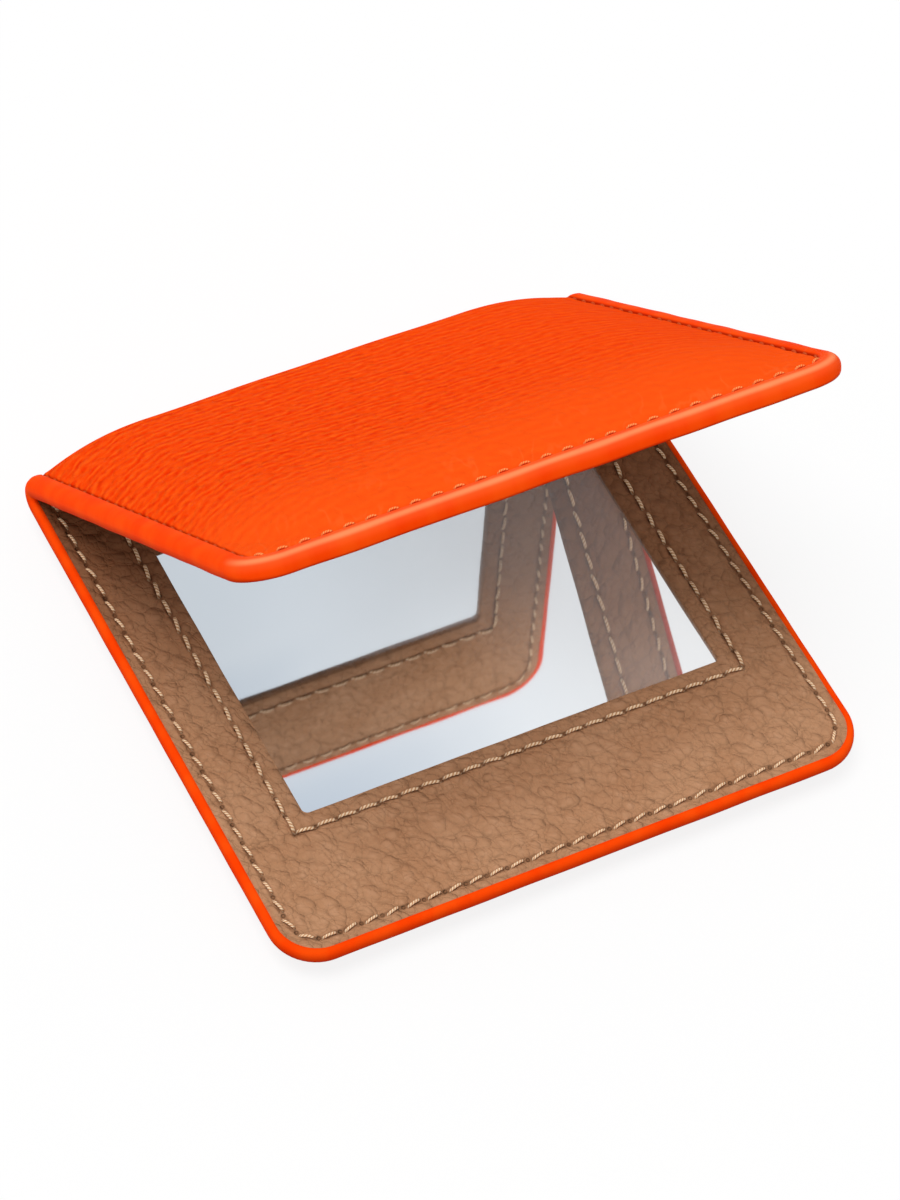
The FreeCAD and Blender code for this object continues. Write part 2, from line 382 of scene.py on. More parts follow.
side = half_width - seam_inset
front = panel_depth - seam_inset
arc = cover_sheet.arc
across = grid_lines((-side, -flat_x, fine), (-flat_x, flat_x, coarse), (flat_x, side, fine))
along = grid_lines((-front, -flat_v, fine), (-flat_v, 0, coarse), (0, arc, round_fold),
                   (arc, arc + flat_v, coarse), (arc + flat_v, arc + front, fine))
x, q = (line.ravel() for line in np.meshgrid(across, along))
x, q = cover_sheet.corners(x, q, seam_inset)
count = count_on_edge_seam(cover_sheet, x, q)
off = cover_sheet.inside(x, q, seam_inset, seam_corner)
outer = cover_level(x, q, count, off)
over_board = cover_sheet.near_front(q, board_start, 1)
inner = frame_back + (board_back - frame_back) * over_board ** 2 * (3 - 2 * over_board)
inner = np.minimum(inner, outer - least_padding)
cells = grid_cells(len(along), len(across))
cover = leather_sheet("padded_cover", cover_sheet, x, q, cells, (outer, inner), count, off)

# %% [markdown]
# ## The painted edge
# Rim and cut edges are ground smooth together and painted in many coats, so the
# edge is one soft bead that starts in the seam, goes over the rim and ends on the
# lining. It is a profile carried along the outline of the flat piece, which is a
# closed loop, so one sweep goes right round base, spine and lid.

# %% Profile and outline of the painted edge
def edge_profile(steps=9):
    """Points (e, w, turn) of the bead: e outward from the cut edge, w the level,
    turn in degrees from its outermost line, and over 90 in the groove of the seam."""
    middle = (rim_face + lining_face) / 2
    half = (rim_face - lining_face) / 2
    over = np.radians(np.linspace(88, 0, steps))
    under = np.radians(np.linspace(0, -84, steps))[1:]
    start = -0.9                 # where the bead begins to roll over
    roll = np.stack([start + (edge_bulge - start) * np.cos(over),
                     middle + half * np.sin(over), np.degrees(over)], -1)
    below = np.stack([edge_bulge * np.cos(under) ** 0.8,
                      middle + half * np.sin(under), np.degrees(under)], -1)
    seam = -seam_inset
    rim = np.array([(seam, rim_face - 0.65, 110), (seam + 0.06, rim_face - 0.32, 108),
                    (seam + 0.26, rim_face - 0.06, 96), (seam + 0.5, rim_face, 90)])
    tuck = np.array([(-0.25, lining_face + 0.02, -88), (-0.35, lining_face + 0.3, -90)])
    return np.concatenate([rim, roll, below, tuck])


def outline_loop(sheet, step):
    """Points and outward directions round the outline of a flat piece."""
    half_x = half_width - corner_radius
    q_low = corner_radius - panel_depth
    q_high = sheet.arc - q_low
    quarter_turn = np.linspace(0, math.pi / 2, 15)[1:-1]
    loop = []
    corners = [(half_x, q_high), (-half_x, q_high), (-half_x, q_low), (half_x, q_low)]
    for quarter, (x, q) in enumerate(corners):
        next_x, next_q = corners[(quarter + 1) % 4]
        for angle in quarter * math.pi / 2 + quarter_turn:
            loop.append((x, q, math.cos(angle), math.sin(angle)))
        out = (quarter + 1) * math.pi / 2
        steps = round(math.hypot(next_x - x, next_q - q) / step)
        for share in np.linspace(0, 1, steps + 1):
            loop.append((x + (next_x - x) * share, q + (next_q - q) * share,
                         math.cos(out), math.sin(out)))
    return np.array(loop)


profile = edge_profile()
loop = outline_loop(edge_strip, 0.7)
print("edge profile of", len(profile), "points, at", len(loop), "places of the outline")

# %% Sweep the painted edge
e, w, turn = profile.T[:, None, :]
start_x, start_q, out_x, out_q = loop.T[:, :, None]
x = start_x + out_x * (corner_radius + e)
q = start_q + out_q * (corner_radius + e)
uneven = 0.04 * waves(start_x, start_q, lengths=(7, 11, 17), seed=3) * (e > -0.2)
points = edge_strip.place(x, q, w + uneven).reshape(-1, 3)
number = np.arange(x.size).reshape(x.shape)
after = np.roll(number, -1, axis=0)
faces = np.stack([number, np.roll(number, -1, 1), np.roll(after, -1, 1), after], -1)
uv = np.stack([x / UV_SPAN + 0.5, q / UV_SPAN + 0.3], -1).reshape(-1, 2)

# Painted shade: how far each point of the bead faces down, so that its lower side can be painted
# darker; on the base's edge the painted shade starts sooner.
toward_lid = edge_strip.toward_lid(q)
turned, lean = toward_lid * spine_turn, np.radians(turn)
facing_down = np.sin(lean) * np.cos(turned) - np.cos(lean) * out_q * np.sin(turned)
still_light = 0.75 * (toward_lid - 1)     # the base's edge, near the table, darkens sooner
low_side_shade = np.clip((facing_down - still_light) / (0.6 - still_light), 0, 1)
marks = {"bead_turn": np.broadcast_to(turn, x.shape), "bead_low": low_side_shade,
         "bead_front": edge_strip.near_front(q, panel_depth - 6, 4)}
painted_edge = new_mesh("painted_edge", points, faces, uv, marks)

# %% [markdown]
# ## The lining
# One thinner piece of leather lines both panels and the fold, with a window cut
# for each mirror. It is a grid again, without the cells inside the windows. The
# knife leaves an edge that softens with use, the seams sink a little into the
# leather, and the stretch at the fold is creased from being bent.

# %% Shape of the lining
window_corner = 0.8          # radius that the knife leaves in a corner
touching = 1e-4              # a point this close to the window lies on its edge
seam_sink, hole_sink, sink_spread = 0.10, 0.12, 0.7
knife_round, knife_spread = 0.30, 0.35
cut_round, cut_spread = 0.12, 0.5
crease_depth, crease_reach = 0.14, 6.0
slow_depth = 0.05            # slow unevenness of the whole sheet
below_cad = 0.08             # keeps the uneven face under that of the CAD lining


def lining_marks(x, q):
    """Stitch count and distance of the nearer seam, for every point of the lining."""
    edge_off = lining_sheet.inside(x, q, seam_inset, seam_corner)
    edge_count = count_on_edge_seam(lining_sheet, x, q)
    window_count, window_off = count_on_window_seam(x, lining_sheet.from_fold(q))
    nearer = np.abs(window_off) < np.abs(edge_off)
    return np.where(nearer, window_count, edge_count), np.where(nearer, window_off, edge_off)


def lining_level(x, q, count, off):
    """Level w of the lining's face; a larger w is deeper."""
    v = lining_sheet.from_fold(q)
    groove = (seam_sink + hole_sink * at_needle_hole(count)) * np.exp(-(off / sink_spread) ** 2)
    from_window = np.maximum(np.abs(x) - window_half,
                             np.maximum(window_back - v, v - window_front))
    knife_edge = knife_round * np.exp(-np.clip(from_window, 0, None) / knife_spread)
    cut_edge = cut_round * np.exp(-lining_sheet.inside(x, q, 0, corner_radius) / cut_spread)
    creases = crease_depth * waves(x, v * 2.2, lengths=(2.3, 3.1, 4.4), seed=6)
    soft = slow_depth * waves(x, q, lengths=(9, 13, 21), seed=8)
    return (lining_face + groove + knife_edge + cut_edge
            + creases * np.exp(-v / crease_reach) + soft + below_cad)


def round_window_corners(x, v):
    """x and v with the points beside a window's corners moved to a small arc."""
    r = window_corner
    middle = (window_front + window_back) / 2
    half_v = (window_front - window_back) / 2
    side = window_half - np.abs(x)
    end = half_v - np.abs(v - middle)
    on_side = (np.abs(side) < touching) & (end > -touching) & (end < r)
    on_end = (np.abs(end) < touching) & (side > -touching) & (side < r)
    angle = np.where(on_side, 1 - end / r, 1 + side / r) * math.pi / 4
    round_x = np.sign(x) * (window_half - r + r * np.cos(angle))
    round_v = middle + np.sign(v - middle) * (half_v - r + r * np.sin(angle))
    moved = on_side | on_end
    return np.where(moved, round_x, x), np.where(moved, round_v, v)


print("window corners rounded to", window_corner, "mm")

# %% Make the lining
from_cut = np.array([0.0, 0.3, 0.7, 1.1, 1.45, 1.8, 2.15, 2.5])     # close lines at the rim
by_window = np.array([-0.6, -0.4, -0.2, 0.0, 0.12, 0.3, 0.6])       # and beside a window
border_step, window_step = 0.55, (0.7, 0.8)
border_end = 2.9             # cut edge to the close lines

half = np.concatenate([
    grid_lines((0, window_half, window_step[0]),
               (window_half + 1, half_width - border_end, border_step)),
    window_half + by_window, half_width - from_cut])
depth = np.concatenate([
    grid_lines((0.4, window_back - 1, border_step),
               (window_back + 1.2, window_front - 1.2, window_step[1]),
               (window_front + 1, panel_depth - border_end, border_step)),
    window_front + by_window, window_back - by_window, panel_depth - from_cut])
arc = lining_sheet.arc
across = np.unique(np.concatenate([-half, half]).round(4))
along = np.unique(np.concatenate([-depth, np.linspace(0, arc, 9), arc + depth]).round(4))
x, q = (line.ravel() for line in np.meshgrid(across, along))
cells = grid_cells(len(along), len(across))
mid_x = x[cells].mean(axis=1)
mid_v = lining_sheet.from_fold(q[cells]).mean(axis=1)
in_window = (np.abs(mid_x) < window_half) & (mid_v > window_back) & (mid_v < window_front)
x, q = lining_sheet.corners(x, q, 0)
x, v = round_window_corners(x, lining_sheet.from_fold(q))
q = np.where(q < 0, -v, np.where(q > arc, arc + v, q))
count, off = lining_marks(x, q)
lining = leather_sheet("window_lining", lining_sheet, x, q, cells[~in_window],
                       (lining_level(x, q, count, off), lining_back), count, off)
lining.data.set_sharp_from_angle(angle=math.radians(50))

# %% [markdown]
# ## Shader maths in plain expressions
# A material is a tree of nodes, and long sums are hard to read as nodes. The
# first class below wraps one socket, so that an expression such as 1 - mask * 0.5
# adds the Math nodes by itself. One method of the second class adds any other
# node. The third holds the patterns that the finishes share.

# %% A value, and a tree that takes nodes
class Value:
    """A number, vector or colour in a tree. Sums of numbers add Math nodes."""

    def __init__(self, tree, socket):
        self.tree = tree
        self.socket = socket

    def math(self, operation, *others):
        node = self.tree.nodes.new("ShaderNodeMath")
        node.operation = operation
        for socket, value in zip(node.inputs, (self, *others)):
            self.tree.feed(socket, value)
        return Value(self.tree, node.outputs[0])

    def __add__(self, other):
        return self.math("ADD", other)

    def __sub__(self, other):
        return self.math("SUBTRACT", other)

    def __rsub__(self, other):
        return self.math("MULTIPLY_ADD", -1.0, other)

    def __mul__(self, other):
        return self.math("MULTIPLY", other)

    def __truediv__(self, other):
        return self.math("DIVIDE", other)

    def __abs__(self):
        return self.math("ABSOLUTE")

    __radd__ = __add__
    __rmul__ = __mul__

    def sine(self):
        """Sine that takes one whole turn from each whole number to the next."""
        return (self * (2 * math.pi)).math("SINE")

    def soft_step(self, low, high):
        """0 below low, 1 above high, and smooth between."""
        return self.tree.node("ShaderNodeMapRange", {"interpolation_type": "SMOOTHSTEP"},
                              "Result", Value=self, From_Min=low, From_Max=high)


class Tree:
    """A tree of nodes that is being put together."""

    def __init__(self, node_tree):
        self.nodes = node_tree.nodes
        self.links = node_tree.links

    def feed(self, socket, value):
        """Set a socket to a number or colour, or link a value to it."""
        if isinstance(value, Value):
            self.links.new(value.socket, socket)
        elif isinstance(value, tuple) and socket.type == "RGBA":
            socket.default_value = (*value, 1.0)
        else:
            socket.default_value = value

    def outputs(self, kind, settings=None, **sockets):
        """Add a node: its settings first, then its sockets; gives its outputs by name."""
        node = self.nodes.new(kind)
        for name, value in (settings or {}).items():
            setattr(node, name, value)
        for name, value in sockets.items():
            socket = next(s for s in node.inputs if s.enabled
                          and name in (s.identifier, s.name.replace(" ", "_")))
            self.feed(socket, value)
        return {output.name: Value(self, output) for output in node.outputs if output.enabled}

    def node(self, kind, settings=None, output=None, **sockets):
        """Add a node and give back one output, by name or else the first."""
        made = self.outputs(kind, settings, **sockets)
        return made[output] if output else next(iter(made.values()))


# %% Patterns of a finish
def linear(red, green, blue):
    """Colour given as it looks on a screen, 0 to 255, for a shader."""
    shares = [c / 255 for c in (red, green, blue)]
    return tuple(s / 12.92 if s < 0.04045 else ((s + 0.055) / 1.055) ** 2.4 for s in shares)


class Finish(Tree):
    """A material, or the world, that is being put together."""

    def __init__(self, owner):
        owner.use_nodes = True
        super().__init__(owner.node_tree)
        self.nodes.clear()
        self.owner = owner

    def mix(self, share, first, second):
        """Colour between two; each is a value, or (red, green, blue) as on a screen."""
        first, second = (c if isinstance(c, Value) else linear(*c) for c in (first, second))
        return self.node("ShaderNodeMix", {"data_type": "RGBA"},
                         Factor_Float=share, A_Color=first, B_Color=second)

    def scaled(self, vector, factors):
        return self.node("ShaderNodeVectorMath", {"operation": "MULTIPLY"},
                         Vector=vector, Vector_001=factors)

    def moved(self, vector, shift):
        return self.node("ShaderNodeVectorMath", {"operation": "ADD"},
                         Vector=vector, Vector_001=shift)

    def noise(self, vector, scale, detail=3.0, roughness=0.5, output="Fac"):
        return self.node("ShaderNodeTexNoise", None, output, Vector=vector, Scale=scale,
                         Detail=detail, Roughness=roughness)

    def noise_at(self, x, y, detail=2.0, roughness=0.5):
        """Noise at a place that is given by two numbers."""
        return self.noise(self.joined(x, y), 1.0, detail, roughness)

    def cells(self, vector, scale, feature="DISTANCE_TO_EDGE"):
        return self.node("ShaderNodeTexVoronoi", {"feature": feature}, "Distance",
                         Vector=vector, Scale=scale)

    def bump(self, height, depth_mm):
        return self.node("ShaderNodeBump", None, "Normal", Height=height, Distance=depth_mm * MM)

    def split(self, vector):
        """The three numbers of a vector."""
        parts = self.outputs("ShaderNodeSeparateXYZ", None, Vector=vector)
        return parts["X"], parts["Y"], parts["Z"]

    def joined(self, x, y):
        """A vector from two numbers."""
        return self.node("ShaderNodeCombineXYZ", None, "Vector", X=x, Y=y)

    def drifted(self, vector, scale, reach, detail):
        """A vector moved about by soft noise, by up to reach each way."""
        noise = self.noise(vector, scale, detail, output="Color")
        return self.moved(vector, self.scaled(self.moved(noise, (-0.5, -0.5, -0.5)), reach))

    def flat_mm(self):
        """Place on the flat leather, in millimetres from its middle, from the UV map."""
        uv = self.node("ShaderNodeUVMap", {"uv_map": "flat"}, "UV")
        return self.scaled(self.moved(uv, (-0.5, -0.5, 0.0)), (UV_SPAN, UV_SPAN, UV_SPAN))

    def object_mm(self):
        """Place in the object, in millimetres."""
        place = self.node("ShaderNodeTexCoord", None, "Object")
        return self.scaled(place, (1 / MM, 1 / MM, 1 / MM))

    def panel_place(self):
        """x, and the distance from the fold as counted on the base and on the lid."""
        x, y, z = self.split(self.object_mm())
        on_base = fold_y - y
        on_lid = on_base * math.cos(open_angle) + (z - fold_z) * math.sin(open_angle)
        return x, on_base, on_lid

    def mark(self, name):
        """A mark that was kept on the points of the mesh."""
        return self.node("ShaderNodeAttribute", {"attribute_name": name}, "Fac")

    def seen_rays(self):
        """1 for rays from the camera, straight or by way of a mirror or glass."""
        path = self.outputs("ShaderNodeLightPath")
        seen = path["Is Camera Ray"].math("MAXIMUM", path["Is Glossy Ray"])
        seen = seen.math("MAXIMUM", path["Is Transmission Ray"])
        return seen * path["Diffuse Depth"].math("LESS_THAN", 0.5)

    def surface(self, **sockets):
        """Close the material with one Principled shader."""
        self.close(self.node("ShaderNodeBsdfPrincipled", None, "BSDF", **sockets))
        print("finish:", self.owner.name, len(self.nodes), "nodes")
        return self.owner

    def close(self, shader, kind="ShaderNodeOutputMaterial"):
        self.links.new(shader.socket, self.nodes.new(kind).inputs["Surface"])


def new_finish(name):
    return Finish(bpy.data.materials.new(name))


print("a mid grey on the screen is %.2f of white light" % linear(128, 128, 128)[0])

# %% [markdown]
# ## Orange leather
# The cover is full-grain leather that was stretched when it was drawn over the
# foam. Its pebbles lie in broken rows along the fold, which bend away near the
# sides and fade to the right and to the front, where the leather is tightest. A
# sine that soft noise bends gives the rows, finer noise breaks them up, and
# Voronoi cells give the pebbles their relief. The groove of the seam is painted
# darker, as painted shade, and the front of the pillow is painted lighter, as
# painted light.

# %% Grain and seams of leather
def pebbles(finish, place, reach, per_mm, fine_per_mm):
    """Distance from the middle of the large and the small pebbles, and their borders."""
    bent = finish.drifted(place, 0.42, (reach, reach, 0.0), 3.0)
    finer = finish.moved(bent, (17.0, 5.0, 0.0))
    domes = finish.cells(bent, per_mm, "F1")
    small_domes = finish.cells(finer, fine_per_mm, "F1")
    creases = 1 - finish.cells(bent, per_mm).soft_step(0.0, 0.10)
    small_creases = 1 - finish.cells(finer, fine_per_mm).soft_step(0.0, 0.13)
    return domes, small_domes, creases, small_creases


def needle_holes(finish, reach):
    """1 in a needle hole of the nearer seam, fading to 0 at reach millimetres."""
    along = ((finish.mark("stitch_count") + 0.5).math("FRACT") - 0.5) * stitch_pitch
    off = finish.mark("stitch_off")
    away = (along * along + off * off).math("SQRT")
    return 1 - away.soft_step(0.12, reach)


def seam_line_mask(finish, reach):
    """1 along the nearer seam, fading to 0 at reach millimetres from it."""
    return 1 - abs(finish.mark("stitch_off")).soft_step(0.08, reach)


front_start = 70.5           # the front border, from the fold
seam_orange = (158, 20, 2)   # orange in the shade of a seam
print("the front border begins %.1f mm from the fold" % front_start)

# %% Finish of the padded cover
def make_cover_leather():
    finish = new_finish("orange_leather")
    flat = finish.flat_mm()
    along, across, _ = finish.split(flat)
    from_fold = finish.mark("from_fold")
    past = (abs(along) - 22.0).math("MAXIMUM", 0.0)
    level = abs(across) - past * past / 42.0           # the rows bend away at the sides
    wander = finish.noise_at(along * 0.30, level * 0.20)
    rows = (level * 0.45 + wander * 2.0).sine()
    breaks = finish.noise_at(along * 0.50, level * 0.30 + 40.0).soft_step(0.30, 0.62)
    mottle = finish.noise_at(along * 0.90, level * 0.60 + 80.0, 3.0) - 0.5
    to_left = 1 - along.soft_step(-14.0, 38.0)
    presence = (0.55 + 0.45 * to_left) * (1 - 0.55 * from_fold.soft_step(44.0, 68.0))
    grain = (rows * breaks * 0.60 + mottle * 1.9) * presence

    domes, small_domes, creases, _ = pebbles(
        finish, finish.joined(along, level * 0.92), 1.2, 0.58, 1.1)
    pits = domes * domes + small_domes * small_domes * 0.5 + creases * breaks * 0.06
    puckers = finish.noise_at(along * 0.40 + across * 0.12, level * 0.14, 2.0, 0.4)
    wrinkles = (1 - abs(puckers - 0.5).soft_step(0.0, 0.05)) * from_fold.soft_step(60.0, 70.0)
    wrinkles = wrinkles * finish.noise(flat, 0.16, 1.0).soft_step(0.44, 0.64)
    seam = seam_line_mask(finish, 0.45)
    at_front = from_fold.soft_step(front_start, 73.0)

    colour = finish.mix(grain * 0.5 + 0.5, (240, 44, 0), (255, 94, 19))
    # Painted light: the front of the pillow is painted lighter, where more light falls on it.
    colour = finish.mix(from_fold.soft_step(40.0, 72.0) * 0.5, colour, (255, 94, 26))
    colour = finish.mix(wrinkles * 0.14, colour, (255, 128, 62))
    # Painted shade: the seam's groove is painted darker, less so along the front border.
    colour = finish.mix(seam * (0.75 - 0.55 * at_front), colour, seam_orange)
    height = grain * 0.10 - pits * presence - seam * 0.18
    return finish.surface(
        Base_Color=colour, Roughness=0.60 - 0.06 * grain, Normal=finish.bump(height, 0.38),
        Specular_IOR_Level=0.001)


cover_leather = make_cover_leather()

# %% [markdown]
# ## Painted edge and lining
# The edge paint is smooth. It has a painted highlight along the upper line of the
# front, and painted shade on the side that looks down at the table. The lining has
# a coarser grain: rounded pebbles, pale at their tips, with creases between, which
# hold a little painted shade. Voronoi cells give them once noise has bent their
# straight borders. The lining is painted darker towards the fold, as painted shade
# under the lid, and furthest on the right, where the lid's shadow falls.

# %% Finish of the painted edge
def make_edge_finish():
    finish = new_finish("painted_orange_edge")
    flat = finish.flat_mm()
    turn = finish.mark("bead_turn")
    in_front = finish.mark("bead_front")
    strokes = finish.noise(finish.scaled(flat, (0.25, 0.25, 0.25)), 0.9)
    specks = finish.noise(flat, 2.6, 2.0)
    # Painted highlight: a pale line along the upper shoulder of the front bead, with a faint
    # tail below it.
    line = (1 - abs(turn - 56.0).soft_step(2.0, 28.0)) * (0.55 + 0.4 * strokes)
    painted_highlight = (line + turn.soft_step(-20.0, 50.0) * 0.14) * in_front
    # Painted shade: the bead is painted darker down in the groove of the seam.
    painted_seam_shade = turn.soft_step(92.0, 106.0) * (0.75 - 0.5 * in_front)
    # Painted shade on the side of the bead that faces the table.
    low_side_shade = finish.mark("bead_low") * (0.6 + 0.4 * in_front)
    colour = finish.mix(strokes.soft_step(0.3, 0.7), (252, 64, 3), (255, 80, 11))
    colour = finish.mix(painted_highlight, colour, (255, 146, 94))
    colour = finish.mix(painted_seam_shade, colour, seam_orange)
    colour = finish.mix(low_side_shade, colour, (140, 9, 2))
    return finish.surface(
        Base_Color=colour, Roughness=0.34 + 0.14 * specks,
        Normal=finish.bump(strokes * 0.7 + specks * 0.3, 0.05), Specular_IOR_Level=0.002)


edge_finish = make_edge_finish()

# %% Finish of the lining
def make_lining_leather():
    finish = new_finish("tan_lining_leather")
    flat = finish.flat_mm()
    along, across, _ = finish.split(flat)
    leaned = finish.joined(along + across * 0.22, across * 0.90)
    domes, small_domes, creases, small_creases = pebbles(finish, leaned, 1.3, 0.56, 1.05)
    broken = finish.noise(flat, 0.25, 2.0).soft_step(0.36, 0.62)
    creases = creases * (0.3 + 0.7 * broken)
    small_creases = small_creases * (0.9 - 0.6 * broken)
    holes = needle_holes(finish, 0.34)
    seam = seam_line_mask(finish, 0.48)
    pits = domes * domes + small_domes * small_domes * (0.55 - 0.25 * broken)
    pits = pits + creases * 0.06 + small_creases * 0.05 + holes * 0.4 + seam * 0.18
    height = finish.noise(flat, 3.2) * 0.04 - pits

    blotches = finish.noise(flat, 0.12, 2.0).soft_step(0.3, 0.7)
    tips = (1 - domes.soft_step(0.10, 0.42)) * 0.22
    tips = tips + (1 - small_domes.soft_step(0.08, 0.40)) * 0.16
    # Painted shade: darker towards the fold, under the lid, and further out on the right, where
    # the lid's shadow falls.
    at_right = along.soft_step(10.0, 32.0)
    fold_reach_mm = 45.0 + 21.0 * at_right
    painted_fold_shade = 1 - (finish.mark("from_fold") / fold_reach_mm).soft_step(0.03, 1.0)
    colour = finish.mix(blotches, (179, 131, 96), (187, 140, 105))
    colour = finish.mix(tips, colour, (206, 160, 127))
    # Painted shade: a little darker in the creases.
    colour = finish.mix(creases * 0.05 + small_creases * 0.03, colour, (126, 84, 54))
    colour = finish.mix(painted_fold_shade * (0.74 + 0.20 * at_right), colour, (104, 48, 14))
    # Painted shade: darker along the seam's groove and in the needle holes.
    colour = finish.mix(seam * 0.38 + holes * 0.2, colour, (84, 46, 24))
    return finish.surface(
        Base_Color=colour, Roughness=0.60 + 0.12 * domes, Normal=finish.bump(height, 0.70),
        Specular_IOR_Level=0.03)


lining_leather = make_lining_leather()

# %% [markdown]
# ## Thread and mirrors
# Thread shows its twist as slanting bands of painted light and shade, and is
# painted dark, as painted shade, where it dives into a needle hole. The side seams
# of the cover lie sunk in the rim, so they are painted darker all along, as painted
# shade. The mirror is silvered glass: nearly all it shows is its surroundings, so
# it needs only a cool tint, a trace of wiping marks and, on one side of the base's
# glass, a breath of haze. Its tint is painted paler towards one side and bluer at
# the front, as painted reflection.

# %% Finish of the thread
def front_share(finish):
    """1 on the front border of either panel, 0 on its sides."""
    _, on_base, on_lid = finish.panel_place()
    return on_base.math("MAXIMUM", on_lid).soft_step(front_start, 72.0)


def make_thread(name, shade, light, deep, gloss, sunk=0.0):
    """Twisted thread, its twist painted in light and shade; sunk is how much painted shade
    darkens the side seams.
    """
    finish = new_finish(name)
    uv = finish.node("ShaderNodeUVMap", {"uv_map": "stitch"}, "UV")
    along, around, _ = finish.split(uv)
    fuzz = finish.noise(finish.object_mm(), 5.0, 2.0)
    twist = (along * 5.5 + around * 2.0 + fuzz * 0.5).sine() * 0.5 + 0.5
    strands = twist.soft_step(0.05, 0.75)
    ends = abs(along - 0.46).soft_step(0.28, 0.50)
    # Painted light and shade: the twist shows as pale and dark bands.
    colour = finish.mix(strands * 0.85 + fuzz * 0.15, shade, light)
    # Painted shade where the thread dives into its needle holes.
    colour = finish.mix(ends * 0.75, colour, deep)
    # Painted shade: the sunk side seams of the cover are darker all along.
    if sunk:
        colour = finish.mix((1 - front_share(finish)) * sunk, colour, deep)
    return finish.surface(
        Base_Color=colour, Roughness=0.75 - 0.15 * strands,
        Normal=finish.bump(strands + fuzz * 0.5, 0.035), Specular_IOR_Level=gloss)


lining_thread = make_thread("pale_thread", (196, 138, 92), (255, 226, 190), (104, 60, 32), 0.03)
outer_thread = make_thread("orange_thread", (250, 92, 26), (255, 170, 102), (186, 30, 3), 0.001,
                           sunk=0.72)

# %% Finish of the mirrors
def make_mirror_glass(name, on_lid, haze):
    """Silvered glass, a little hazy towards one side; its tint is painted paler towards one side
    and bluer at the front, as painted reflection.
    """
    finish = new_finish(name)
    x, base_v, lid_v = finish.panel_place()
    v = lid_v if on_lid else base_v
    wiped = finish.noise(finish.scaled(finish.object_mm(), (0.05, 0.03, 0.05)), 1.0, 2.0)
    across = (x + 0.3 * (v - 33.0) + (wiped - 0.5) * 20.0).soft_step(-30.0, 24.0)
    breath = (x - 0.25 * (v - 35.0)).soft_step(-6.0, 16.0) * haze
    at_front = v.soft_step(44.0, 54.0)
    # Painted reflection: the tint grows paler across the glass and bluer towards the front.
    colour = finish.mix(across, (234, 237, 240), (245, 247, 249))
    colour = finish.mix(at_front * (1 - across), colour, (214, 222, 231))
    return finish.surface(
        Base_Color=colour, Metallic=1 - breath, Roughness=0.015 + 0.02 * wiped)


mirror_glass = {"base": make_mirror_glass("base_silvered_mirror", False, 0.26),
                "lid": make_mirror_glass("lid_silvered_mirror", True, 0.0)}

# %% [markdown]
# ## Finishes of the hidden pieces
# Board, foam, filler, tape and magnets are covered by leather, but a part that is
# taken apart or cut open still has to look right. Each has a simple finish with
# the structure of its material: fibres, cells, a rolled skin or a plated one.

# %% Finish the hidden pieces
def make_hidden(name, first, second, scale, stretch, depth_mm, roughness, metal=0.0):
    """A plain material with one pattern, stretched along the piece if it has fibres."""
    finish = new_finish(name)
    pattern = finish.noise(finish.scaled(finish.object_mm(), stretch), scale, 4.0, 0.6)
    return finish.surface(
        Base_Color=finish.mix(pattern.soft_step(0.3, 0.7), first, second), Metallic=metal,
        Roughness=roughness + 0.15 * pattern, Normal=finish.bump(pattern, depth_mm))


even = (1.0, 1.0, 1.0)
hidden_looks = {    # name, two colours, pattern, its stretch, depth, roughness, metal
    "stiffener_board": ("grey_board", (128, 120, 108), (156, 148, 134),
                        1.2, (0.3, 1.0, 1.0), 0.05, 0.75),
    "foam_pad": ("white_foam", (214, 210, 198), (238, 235, 226), 2.4, even, 0.15, 0.8),
    "filler_frame": ("fibre_filler", (92, 66, 46), (122, 92, 66),
                     0.9, (1.0, 0.4, 1.0), 0.05, 0.7),
    "reinforcement": ("woven_reinforcement", (206, 196, 176), (228, 220, 204),
                      1.6, (1.0, 1.0, 0.5), 0.05, 0.8),
    "mirror_tape": ("white_tape", (222, 220, 212), (236, 235, 230), 0.8, even, 0.02, 0.6),
    "closing_magnets": ("plated_magnet", (176, 178, 182), (202, 204, 208),
                        0.7, even, 0.01, 0.2, 1.0),
}
hidden_finishes = {kind: make_hidden(*look) for kind, look in hidden_looks.items()}


def dress(piece, material):
    """Give a piece this one material."""
    piece.data.materials.clear()
    piece.data.materials.append(material)


finished = 0
for name, node in frame["nodes"].items():
    body, kind = name.split("_", 1)
    material = mirror_glass[body] if kind == "mirror" else hidden_finishes.get(kind)
    if material:
        dress(node, material)
        finished += 1
dress(cover, cover_leather)
dress(painted_edge, edge_finish)
dress(lining, lining_leather)
print("CAD nodes with their own finish:", finished)

# %% [markdown]
# ## One stitch
# A saddle stitch shows as a short slanting bar of thread that comes out of one
# needle hole and goes down the next. The bar is a tube whose middle arches up and
# whose ends dive into the leather. It is repeated hundreds of times, so it has
# only a few dozen faces.

